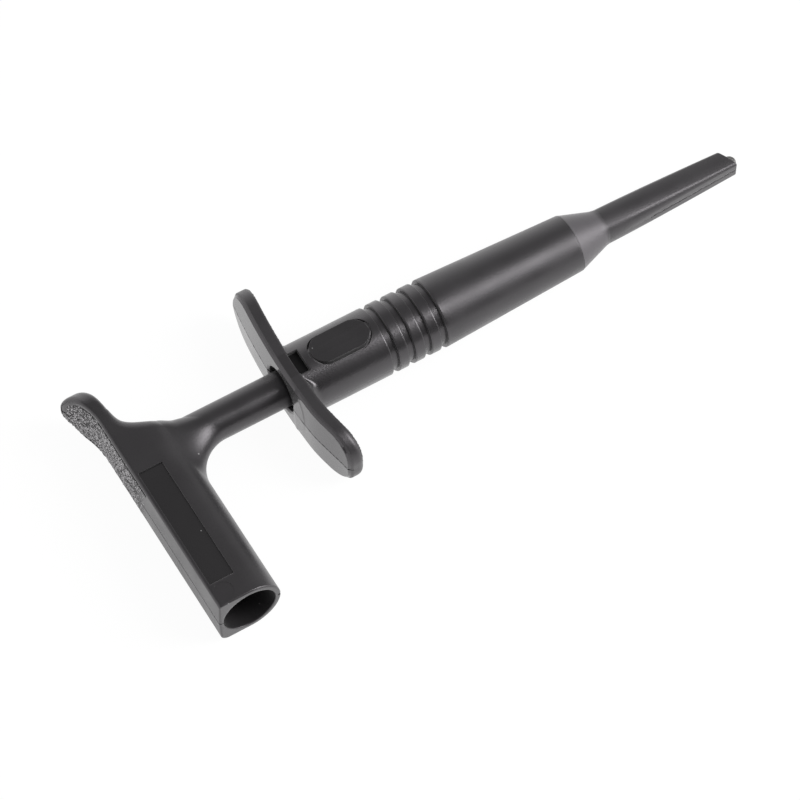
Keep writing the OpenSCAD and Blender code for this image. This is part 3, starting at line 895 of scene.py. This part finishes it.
# %% Table
TABLE_HALF = 1.5
TABLE_GLOW = 0.95
TABLE_SHADE = 0.07
TABLE_COLOUR = (0.8, 0.8, 0.8, 1)

scene.view_settings.view_transform = "Standard"
corners = [(x, y, 0) for x, y in ((-1, -1), (1, -1), (1, 1), (-1, 1))]
table_mesh = bpy.data.meshes.new("table")
table_mesh.from_pydata([Vector(corner) * TABLE_HALF for corner in corners], [], [(0, 1, 2, 3)])
table = new_object("table", table_mesh)

table_paint, tree, out = new_material("white_table")
path = tree.nodes.new("ShaderNodeLightPath").outputs
matt = add(tree, "ShaderNodeBsdfDiffuse", Color=TABLE_COLOUR)
mirrored = add(tree, "ShaderNodeEmission", Strength=1.0)
lit = add(tree, "ShaderNodeEmission", Strength=TABLE_GLOW)
shade = add(tree, "ShaderNodeBsdfDiffuse", Color=(TABLE_SHADE, TABLE_SHADE, TABLE_SHADE, 1))
seen = add(tree, "ShaderNodeAddShader", in_0=lit.outputs[0], in_1=shade.outputs[0])
glossy = maths(tree, "MAXIMUM", path["Is Glossy Ray"], path["Is Transmission Ray"])
surface = matt.outputs[0]
for ray, other in ((glossy, mirrored), (path["Is Camera Ray"], seen)):
    mixed = add(tree, "ShaderNodeMixShader", in_0=ray, in_1=surface, in_2=other.outputs[0])
    surface = mixed.outputs[0]
tree.links.new(surface, out.inputs["Surface"])
table_mesh.materials.append(table_paint)
print("table", TABLE_HALF * 2, "m wide")

# %% Walls of the light tent
WALL_LIGHT = 0.5
CEILING = 0.28
OPENING = 0.14
LAMP_SIDE = 0.4
OVERHEAD_Z = (0.25, 0.82)
OPENING_Y = (-0.95, -0.5)
LAMP_SIDE_X = (0.35, 0.75)

world = bpy.data.worlds.new("light_tent")
scene.world = world
world.use_nodes = True
tree = world.node_tree
tree.nodes.clear()
path = tree.nodes.new("ShaderNodeLightPath").outputs
direction = add(tree, "ShaderNodeTexCoord").outputs["Generated"]
heading = add(tree, "ShaderNodeSeparateXYZ", Vector=direction).outputs
overhead = between(tree, heading["Z"], *OVERHEAD_Z, 1.0, CEILING)
open_side = between(tree, heading["Y"], *OPENING_Y, OPENING, 1.0)
lamp_side = between(tree, heading["X"], *LAMP_SIDE_X, 1.0, LAMP_SIDE)
tent = maths(tree, "MULTIPLY", maths(tree, "MULTIPLY", overhead, open_side), lamp_side)
direct = maths(tree, "MAXIMUM", path["Is Camera Ray"], path["Is Transmission Ray"])
mirrored = maths(tree, "MULTIPLY", path["Is Glossy Ray"], tent)
other = maths(tree, "SUBTRACT", 1.0, maths(tree, "MAXIMUM", direct, path["Is Glossy Ray"]))
spread = maths(tree, "MULTIPLY", other, WALL_LIGHT)
strength = maths(tree, "ADD", maths(tree, "ADD", direct, mirrored), spread)
background = add(tree, "ShaderNodeBackground", Color=(1, 1, 1, 1), Strength=strength)
out = tree.nodes.new("ShaderNodeOutputWorld")
tree.links.new(background.outputs[0], out.inputs["Surface"])
print("tent walls at", WALL_LIGHT, "with a ceiling at", CEILING)

# %% Soft lamps


def soft_lamp(name, place, aim, size, radiance):
    """Oblong area lamp at a place, turned to a point, in millimetres from the T-joint."""
    data = bpy.data.lights.new(name, "AREA")
    data.shape = "RECTANGLE"
    data.size = size[0] * MM
    data.size_y = size[1] * MM
    data.energy = radiance * math.pi * data.size * data.size_y
    lamp = new_object(name, data)
    lamp.location = on_bench(*place)
    lamp.rotation_mode = "QUATERNION"
    lamp.rotation_quaternion = (lamp.location - on_bench(*aim)).to_track_quat("Z", "Y")
    lamp.visible_camera = False
    print(name, round(data.energy, 2), "W")


soft_lamp("key_softbox", place=(372, -250, 400), aim=(104, 0, 0), size=(240, 330), radiance=6.4)
soft_lamp("side_softbox", place=(400, -180, 204), aim=(84, 0, 0), size=(240, 280), radiance=3.2)

# %% [markdown]
# ## Effects that finishes share
# Moulded plastic has a fine grain from the mould, a broad unevenness in its shine, a parting line
# where the mould opened, and a few specks of dust. Drawn metal has streaks along it. Each effect
# is a shader group that several finishes use with their own values. They read Object
# coordinates, which stay with a piece when it moves.

# %% Moulded skin
BROAD_SCALE = 140.0
FINISH = ("Tone", "Shine", "Height")


def own_place(tree):
    """Where a point lies on its own piece."""
    return add(tree, "ShaderNodeTexCoord").outputs["Object"]


def finish_group(group, given, result, uneven, height):
    """Ends a finish: tone about 1 and shine about 0, each with its own spread, and a relief."""
    swing = maths(group, "SUBTRACT", uneven, 0.5)
    tone = maths(group, "ADD", maths(group, "MULTIPLY", swing, given["Tone spread"]), 1.0)
    shine = maths(group, "MULTIPLY", swing, given["Shine spread"])
    for name, value in zip(FINISH, (tone, shine, height)):
        group.links.new(value, result[name])


skin_group, given, result = new_group(
    "moulded_skin", "ShaderNodeTree",
    {"Grain size": 0.0003, "Tone spread": 0.2, "Shine spread": 0.1}, FINISH,
)
place = own_place(skin_group)
fine_scale = maths(skin_group, "DIVIDE", 1.0, given["Grain size"])
fine = add(skin_group, "ShaderNodeTexNoise", Vector=place, Scale=fine_scale, Detail=2.0)
broad = add(skin_group, "ShaderNodeTexNoise", Vector=place, Scale=BROAD_SCALE, Detail=4.0)
finish_group(skin_group, given, result, broad.outputs["Fac"], fine.outputs["Fac"])
print(skin_group.name, "has", len(skin_group.nodes), "nodes")

# %% Dust specks
SPECK_SIZE = 0.045
dust_group, given, result = new_group(
    "dust_specks", "ShaderNodeTree", {"Spacing": 0.003, "Share": 0.1}, ["Mask"],
)
cell_scale = maths(dust_group, "DIVIDE", 1.0, given["Spacing"])
cells = add(dust_group, "ShaderNodeTexVoronoi", Vector=own_place(dust_group), Scale=cell_scale)
chance = add(dust_group, "ShaderNodeSeparateColor", Color=cells.outputs["Color"]).outputs[0]
chosen = maths(dust_group, "LESS_THAN", chance, given["Share"])
near = maths(dust_group, "LESS_THAN", cells.outputs["Distance"], SPECK_SIZE)
dust_group.links.new(maths(dust_group, "MULTIPLY", chosen, near), result["Mask"])
print(dust_group.name, "has", len(dust_group.nodes), "nodes")

# %% Parting line
line_group, given, result = new_group(
    "parting_line", "ShaderNodeTree", {"Level": 0.0, "Width": 0.0001}, ["Line"],
)
height = add(line_group, "ShaderNodeSeparateXYZ", Vector=own_place(line_group)).outputs["Z"]
apart = maths(line_group, "ABSOLUTE", maths(line_group, "SUBTRACT", height, given["Level"]))
share = maths(line_group, "DIVIDE", apart, given["Width"])
line_group.links.new(between(line_group, share, 0.5, 1.0, 1.0, 0.0), result["Line"])
print(line_group.name, "has", len(line_group.nodes), "nodes")

# %% Drawn metal
STREAK_STRETCH = (0.05, 0.6, 1.0)
STAIN_SCALE = 700.0
metal_group, given, result = new_group(
    "drawn_metal", "ShaderNodeTree",
    {"Streak size": 0.0002, "Tone spread": 0.2, "Shine spread": 0.15}, FINISH,
)
place = own_place(metal_group)
stretched = add(metal_group, "ShaderNodeMapping", Vector=place, Scale=STREAK_STRETCH).outputs[0]
streak_scale = maths(metal_group, "DIVIDE", 1.0, given["Streak size"])
streaks = add(metal_group, "ShaderNodeTexNoise", Vector=stretched, Scale=streak_scale, Detail=3.0)
stains = add(metal_group, "ShaderNodeTexNoise", Vector=place, Scale=STAIN_SCALE, Detail=4.0)
both = maths(metal_group, "ADD", streaks.outputs["Fac"], stains.outputs["Fac"])
uneven = maths(metal_group, "MULTIPLY", both, 0.5)
finish_group(metal_group, given, result, uneven, streaks.outputs["Fac"])
print(metal_group.name, "has", len(metal_group.nodes), "nodes")

# %% [markdown]
# ## Plastic finishes
# The black nylon is satin. It has painted shade on the handle's sunk panel, the line round the
# thumb patch, the barrel's oval and the window's walls, and it is rough where spark erosion of the
# mould left a patch. Point attributes on each moulding say where those places are. The nose has a
# more matt finish of the same kind, with a frosted cone, and the pimples on the thumb rest are
# painted pale, a painted highlight for their glints.

# %% Make the plastics
PARTING_LEVEL = T_JOINT.z
DUST = (0.3, 0.3, 0.3, 1)
WARM_SHINE = (1.0, 0.955, 1.0, 1)
SPECKLE_BUMP = 3.0
DUST_SPACING = 0.0032
PARTING_WIDTH = 0.00009
PARTING_BUMP = -0.4
BUMP_HEIGHT = 0.00012


def use_group(tree, group, **sockets):
    """Places a shader group in a material."""
    placed = tree.nodes.new("ShaderNodeGroup")
    placed.node_tree = group
    for name, value in sockets.items():
        placed.inputs[name.replace("_", " ")].default_value = value
    return placed.outputs


def mask(tree, name):
    """A moulding's own point attribute."""
    return add(tree, "ShaderNodeAttribute", {"attribute_name": name}).outputs["Fac"]


def mixed_colour(tree, factor, a, b, blend="MIX"):
    """Two colours mixed by a factor."""
    settings = {"data_type": "RGBA", "blend_type": blend}
    return add(tree, "ShaderNodeMix", settings, in_0=factor, in_6=a, in_7=b).outputs[2]


def toned(tree, base, tone):
    """A colour times an uneven tone."""
    grey = add(tree, "ShaderNodeCombineColor", Red=tone, Green=tone, Blue=tone)
    return mixed_colour(tree, 1.0, base, grey.outputs[0], "MULTIPLY")


def plastic(
    name, colour, shade_colour=None, roughness=0.45, grain=0.0003, bump=0.3,
    dust_share=0.0, gloss=0.5, sheen=0.0,
):
    """A moulded plastic with grain, parting line, a second colour by the shade mask, uneven shine and
    dust.
    """
    material, tree, out = new_material(name)
    surface = use_group(tree, skin_group, Grain_size=grain, Tone_spread=0.5, Shine_spread=0.3)
    dust = use_group(tree, dust_group, Spacing=DUST_SPACING, Share=dust_share)["Mask"]
    line = use_group(tree, line_group, Level=PARTING_LEVEL, Width=PARTING_WIDTH)["Line"]
    # The second colour is painted shade on the black plastic, and a frosted cone on the nose.
    base = mixed_colour(tree, mask(tree, "shade"), (*colour, 1), (*(shade_colour or colour), 1))
    base = mixed_colour(tree, dust, toned(tree, base, surface["Tone"]), DUST)
    shine = maths(tree, "ADD", surface["Shine"], roughness)
    shine = maths(tree, "ADD", shine, mask(tree, "shine"))
    coarse = maths(tree, "MULTIPLY", mask(tree, "speckle"), SPECKLE_BUMP)
    height = maths(tree, "MULTIPLY", surface["Height"], maths(tree, "ADD", coarse, bump))
    height = maths(tree, "ADD", height, maths(tree, "MULTIPLY", line, PARTING_BUMP))
    relief = add(tree, "ShaderNodeBump", Strength=0.5, Distance=BUMP_HEIGHT, Height=height)
    shader = add(
        tree, "ShaderNodeBsdfPrincipled",
        Base_Color=base, Roughness=shine, Normal=relief.outputs[0],
        Specular_IOR_Level=gloss, Specular_Tint=WARM_SHINE, Sheen_Weight=sheen,
    )
    tree.links.new(shader.outputs[0], out.inputs["Surface"])
    return material


# Its second colour is painted shade, for the panel, the thumb patch's line, the oval and the window.
black_plastic = plastic(
    "black_plastic", (0.0095, 0.0087, 0.0097), (0.0015, 0.0014, 0.0015),
    roughness=0.31, grain=0.00035, bump=0.25, dust_share=0.4, gloss=1.0, sheen=0.2,
)
nose_plastic = plastic(
    "nose_plastic", (0.011, 0.0101, 0.0112), (0.07, 0.066, 0.071),
    roughness=0.46, grain=0.00022, bump=0.5, gloss=1.0, sheen=0.25,
)
# Black plastic, painted darker still as shade in the window the bush shows through.
bush_plastic = plastic("bush_plastic", (0.005, 0.005, 0.0052), roughness=0.6, gloss=0.25)
sleeve_plastic = plastic("sleeve_plastic", (0.008, 0.008, 0.0085))
# Pale pimples: a painted highlight standing in for the glints on black grain.
grain_plastic = plastic("grain_plastic", (0.88, 0.865, 0.88), roughness=0.5, grain=0.0004)
print("plastics:", [material.name for material in bpy.data.materials])

# %% [markdown]
# ## Metal finishes
# The contact and the rod are plated brass, the spring is bright wire, and the hook and the small
# rings are duller steel. All share the drawn-metal group.

# %% Make the metals
SCRATCH_HEIGHT = 0.00004


def metal(name, colour, roughness, streak):
    """A drawn or turned metal with streaks and stains."""
    material, tree, out = new_material(name)
    surface = use_group(tree, metal_group, Streak_size=streak, Tone_spread=0.6, Shine_spread=0.5)
    base = toned(tree, (*colour, 1), surface["Tone"])
    height = surface["Height"]
    relief = add(tree, "ShaderNodeBump", Strength=0.25, Distance=SCRATCH_HEIGHT, Height=height)
    shader = add(
        tree, "ShaderNodeBsdfPrincipled",
        Base_Color=base, Metallic=1.0, Normal=relief.outputs[0],
        Roughness=maths(tree, "ADD", surface["Shine"], roughness),
    )
    tree.links.new(shader.outputs[0], out.inputs["Surface"])
    return material


contact_metal = metal("contact_metal", (0.62, 0.60, 0.55), roughness=0.28, streak=0.0002)
rod_metal = metal("rod_metal", (0.60, 0.58, 0.53), roughness=0.3, streak=0.0002)
hook_wire = metal("hook_wire", (0.30, 0.295, 0.29), roughness=0.5, streak=0.0003)
spring_wire = metal("spring_wire", (0.50, 0.50, 0.51), roughness=0.25, streak=0.0002)
small_steel = metal("small_steel", (0.42, 0.42, 0.43), roughness=0.35, streak=0.00025)
metals = (contact_metal, rod_metal, hook_wire, spring_wire, small_steel)
print("metals:", [paint.name for paint in metals])

# %% [markdown]
# ## Wire and grain from Geometry Nodes
# A coil follows a rule, a hook follows a path, and the spark-eroded grain is one small pimple
# repeated over a surface. All three are short Geometry Nodes trees with named inputs. Each result
# is turned into a plain mesh, so that it can ride on a body and be exported.

# %% Run a tree


def made_by_nodes(name, source, tree, values):
    """Object whose mesh is what a tree makes of a source mesh."""
    piece = new_object(name, source)
    modifier = piece.modifiers.new("shape", "NODES")
    modifier.node_group = tree
    for item in tree.interface.items_tree:
        if item.in_out == "INPUT" and item.name in values:
            modifier[item.identifier] = values[item.name]
    graph = bpy.context.evaluated_depsgraph_get()
    mesh = bpy.data.meshes.new_from_object(piece.evaluated_get(graph))
    piece.modifiers.remove(modifier)
    piece.data = mesh
    print(name, len(mesh.polygons), "faces")
    return piece


def finish_tree(tree, geometry, material, result):
    """Ends a tree: realized instances, smooth, with their material."""
    real = add(tree, "GeometryNodeRealizeInstances", Geometry=geometry)
    smooth = add(tree, "GeometryNodeSetShadeSmooth", Geometry=real.outputs[0])
    dressed = add(tree, "GeometryNodeSetMaterial", Geometry=smooth.outputs[0], Material=material)
    tree.links.new(dressed.outputs[0], result["Geometry"])


def wire_along(tree, curve, wire_radius, sides):
    """Round wire along a curve, with closed ends."""
    ring = add(tree, "GeometryNodeCurvePrimitiveCircle", Resolution=sides, Radius=wire_radius)
    wire = add(
        tree, "GeometryNodeCurveToMesh",
        Curve=curve, Profile_Curve=ring.outputs["Curve"], Fill_Caps=True,
    )
    return wire.outputs[0]


# %% Wind the return spring
SPRING_TURNS = 13.0
SPRING_CLOSED = 1.0
SPRING_R = 3.15
SPRING_WIRE_R = 0.35
POINTS_PER_TURN = 24
SPRING_SIDES = 10

coil, given, result = new_group(
    "spring_coil", "GeometryNodeTree",
    {"Geometry": "NodeSocketGeometry", "Start": (0, 0, 0), "Length": 0.037, "Mean radius": 0.003,
     "Wire radius": 0.0003, "Turns": 13.0, "Closed turns": 1.0, "Material": "NodeSocketMaterial"},
    ["Geometry"],
)
line = add(coil, "GeometryNodeCurvePrimitiveLine", End=(1, 0, 0)).outputs[0]
count = maths(coil, "MULTIPLY", given["Turns"], POINTS_PER_TURN)
line = add(coil, "GeometryNodeResampleCurve", Curve=line, Count=count).outputs[0]
along = add(coil, "GeometryNodeSplineParameter").outputs["Factor"]
turn = maths(coil, "MULTIPLY", along, given["Turns"])
wire_d = maths(coil, "MULTIPLY", given["Wire radius"], 2.0)
closed_turns = maths(coil, "MULTIPLY", given["Closed turns"], 2.0)
open_turns = maths(coil, "SUBTRACT", given["Turns"], closed_turns)
closed_run = maths(coil, "MULTIPLY", wire_d, closed_turns)
open_run = maths(coil, "SUBTRACT", maths(coil, "SUBTRACT", given["Length"], closed_run), wire_d)
first = maths(coil, "MINIMUM", turn, given["Closed turns"])
open_end = maths(coil, "ADD", open_turns, given["Closed turns"])
last = maths(coil, "MAXIMUM", maths(coil, "SUBTRACT", turn, open_end))
closed_part = maths(coil, "MULTIPLY", maths(coil, "ADD", first, last), wire_d)
middle_turn = maths(coil, "SUBTRACT", maths(coil, "SUBTRACT", turn, first), last)
pitch = maths(coil, "DIVIDE", open_run, open_turns)
run = maths(coil, "ADD", closed_part, maths(coil, "MULTIPLY", middle_turn, pitch))
angle = maths(coil, "MULTIPLY", turn, math.tau)
offset = add(
    coil, "ShaderNodeCombineXYZ", X=maths(coil, "ADD", run, given["Wire radius"]),
    Y=maths(coil, "MULTIPLY", maths(coil, "COSINE", angle), given["Mean radius"]),
    Z=maths(coil, "MULTIPLY", maths(coil, "SINE", angle), given["Mean radius"]),
)
place = add(coil, "ShaderNodeVectorMath", in_0=given["Start"], in_1=offset.outputs[0])
path = add(coil, "GeometryNodeSetPosition", Geometry=line, Position=place.outputs[0]).outputs[0]
wire = wire_along(coil, path, given["Wire radius"], SPRING_SIDES)
finish_tree(coil, wire, given["Material"], result)

spring_low, spring_high = tool_box("return_spring")
spring = made_by_nodes("return_coil", bpy.data.meshes.new("return_coil"), coil, {
    "Start": on_bench(spring_low.x, 0, 0),
    "Length": (spring_high.x - spring_low.x) * MM,
    "Mean radius": SPRING_R * MM,
    "Wire radius": SPRING_WIRE_R * MM,
    "Turns": SPRING_TURNS,
    "Closed turns": SPRING_CLOSED,
    "Material": spring_wire,
})

# %% Bend the hook
HOOK_WIRE_R = 0.5
HOOK_SIDE = 0.7
HOOK_BARB = 4.0
HOOK_SPLAY = 0.05
HOOK_SIDES = 16
BEND_POINTS = 10

bend, given, result = new_group(
    "bent_wire", "GeometryNodeTree",
    {"Geometry": "NodeSocketGeometry", "Bend radius": 0.0006, "Wire radius": 0.0004,
     "Material": "NodeSocketMaterial"},
    ["Geometry"],
)
path = add(bend, "GeometryNodeMeshToCurve", Mesh=given["Geometry"]).outputs[0]
path = add(
    bend, "GeometryNodeFilletCurve", {"mode": "POLY"},
    Curve=path, Radius=given["Bend radius"], Limit_Radius=True, Count=BEND_POINTS,
)
wire = wire_along(bend, path.outputs[0], given["Wire radius"], HOOK_SIDES)
finish_tree(bend, wire, given["Material"], result)

hook_low, hook_high = tool_box("hook")
bend_x = hook_high.x - HOOK_WIRE_R
corners = [
    (hook_low.x, 0, 0), (bend_x, HOOK_SIDE, 0), (bend_x, -HOOK_SIDE, 0),
    (bend_x - HOOK_SIDE - HOOK_BARB, -HOOK_SIDE - HOOK_SPLAY, 0),
]
hook_path = bpy.data.meshes.new("hook_path")
hook_path.from_pydata([on_bench(*corner) for corner in corners], [(0, 1), (1, 2), (2, 3)], [])
hook = made_by_nodes("hook_bend", hook_path, bend, {
    "Bend radius": HOOK_SIDE * MM, "Wire radius": HOOK_WIRE_R * MM, "Material": hook_wire,
})

# %% Scatter the spark-eroded grain
PIMPLE_LEAST = (0.3, 0.3, 0.12)
PIMPLE_MOST = (1.0, 1.0, 0.4)

grain, given, result = new_group(
    "spark_grain", "GeometryNodeTree",
    {"Geometry": "NodeSocketGeometry", "Density": 6e6, "Grain size": 0.0002, "Seed": 1,
     "Material": "NodeSocketMaterial"},
    ["Geometry"],
)
patch = add(grain, "GeometryNodeInputNamedAttribute", {"data_type": "FLOAT"}, Name="speckle")
density = maths(grain, "MULTIPLY", patch.outputs[0], given["Density"])
spread = add(
    grain, "GeometryNodeDistributePointsOnFaces", {"distribute_method": "RANDOM"},
    Mesh=given["Geometry"], Density=density, Seed=given["Seed"],
)
pimple = add(grain, "GeometryNodeMeshIcoSphere", Radius=1.0, Subdivisions=1).outputs[0]
size = add(
    grain, "FunctionNodeRandomValue", {"data_type": "FLOAT_VECTOR"},
    Min=PIMPLE_LEAST, Max=PIMPLE_MOST, Seed=given["Seed"],
)
size = add(
    grain, "ShaderNodeVectorMath", {"operation": "SCALE"},
    in_0=size.outputs[0], Scale=given["Grain size"],
)
pimples = add(
    grain, "GeometryNodeInstanceOnPoints",
    Points=spread.outputs["Points"], Instance=pimple,
    Rotation=spread.outputs["Rotation"], Scale=size.outputs[0],
)
finish_tree(grain, pimples.outputs[0], given["Material"], result)

# The thumb rest's pimples are painted pale, a painted highlight for their glints.
rest_grain = made_by_nodes("thumb_rest_grain", handle.data, grain, {
    "Density": 10e6, "Grain size": 0.0002, "Seed": 3, "Material": grain_plastic,
})
flange_grain = made_by_nodes("flange_grain", barrel.data, grain, {
    "Density": 7e6, "Grain size": 0.0002, "Seed": 5, "Material": black_plastic,
})

# %% [markdown]
# ## Every piece in its place
# Each new piece rides on the body that carries it and stands for the CAD solid it replaces, which
# is hidden. The spring stays in place and rides on no body. The other CAD pieces keep their shapes
# and get their finish here.

# %% Ride, replace and dress
for piece, body, node, slot, paint in (
    (handle, "plunger", "plunger_handle", "black_plastic", black_plastic),
    (barrel, "barrel", "barrel", "black_plastic", black_plastic),
    (nose, "barrel", "nose", "nose_plastic", nose_plastic),
    (hook, "plunger", "hook", "hook_wire", None),
    (rest_grain, "plunger", None, "black_plastic", None),
    (flange_grain, "barrel", None, "black_plastic", None),
):
    if paint:
        piece.data.materials.append(paint)
    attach(piece, body)
    if node:
        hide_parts(node)

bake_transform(spring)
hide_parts("return_spring")

for node, paint in (
    ("guide_bush", bush_plastic),
    ("jack_sleeve", sleeve_plastic),
    ("jack_contact", contact_metal),
    ("conductor_rod", rod_metal),
    ("clamp_screw", small_steel),
    ("retaining_ring", small_steel),
    ("front_spring_washer", small_steel),
    ("rear_spring_washer", small_steel),
):
    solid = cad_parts[node]
    for spot in solid.material_slots:
        spot.material = paint
    print(node, "wears", paint.name, "in", len(solid.material_slots), "slots")
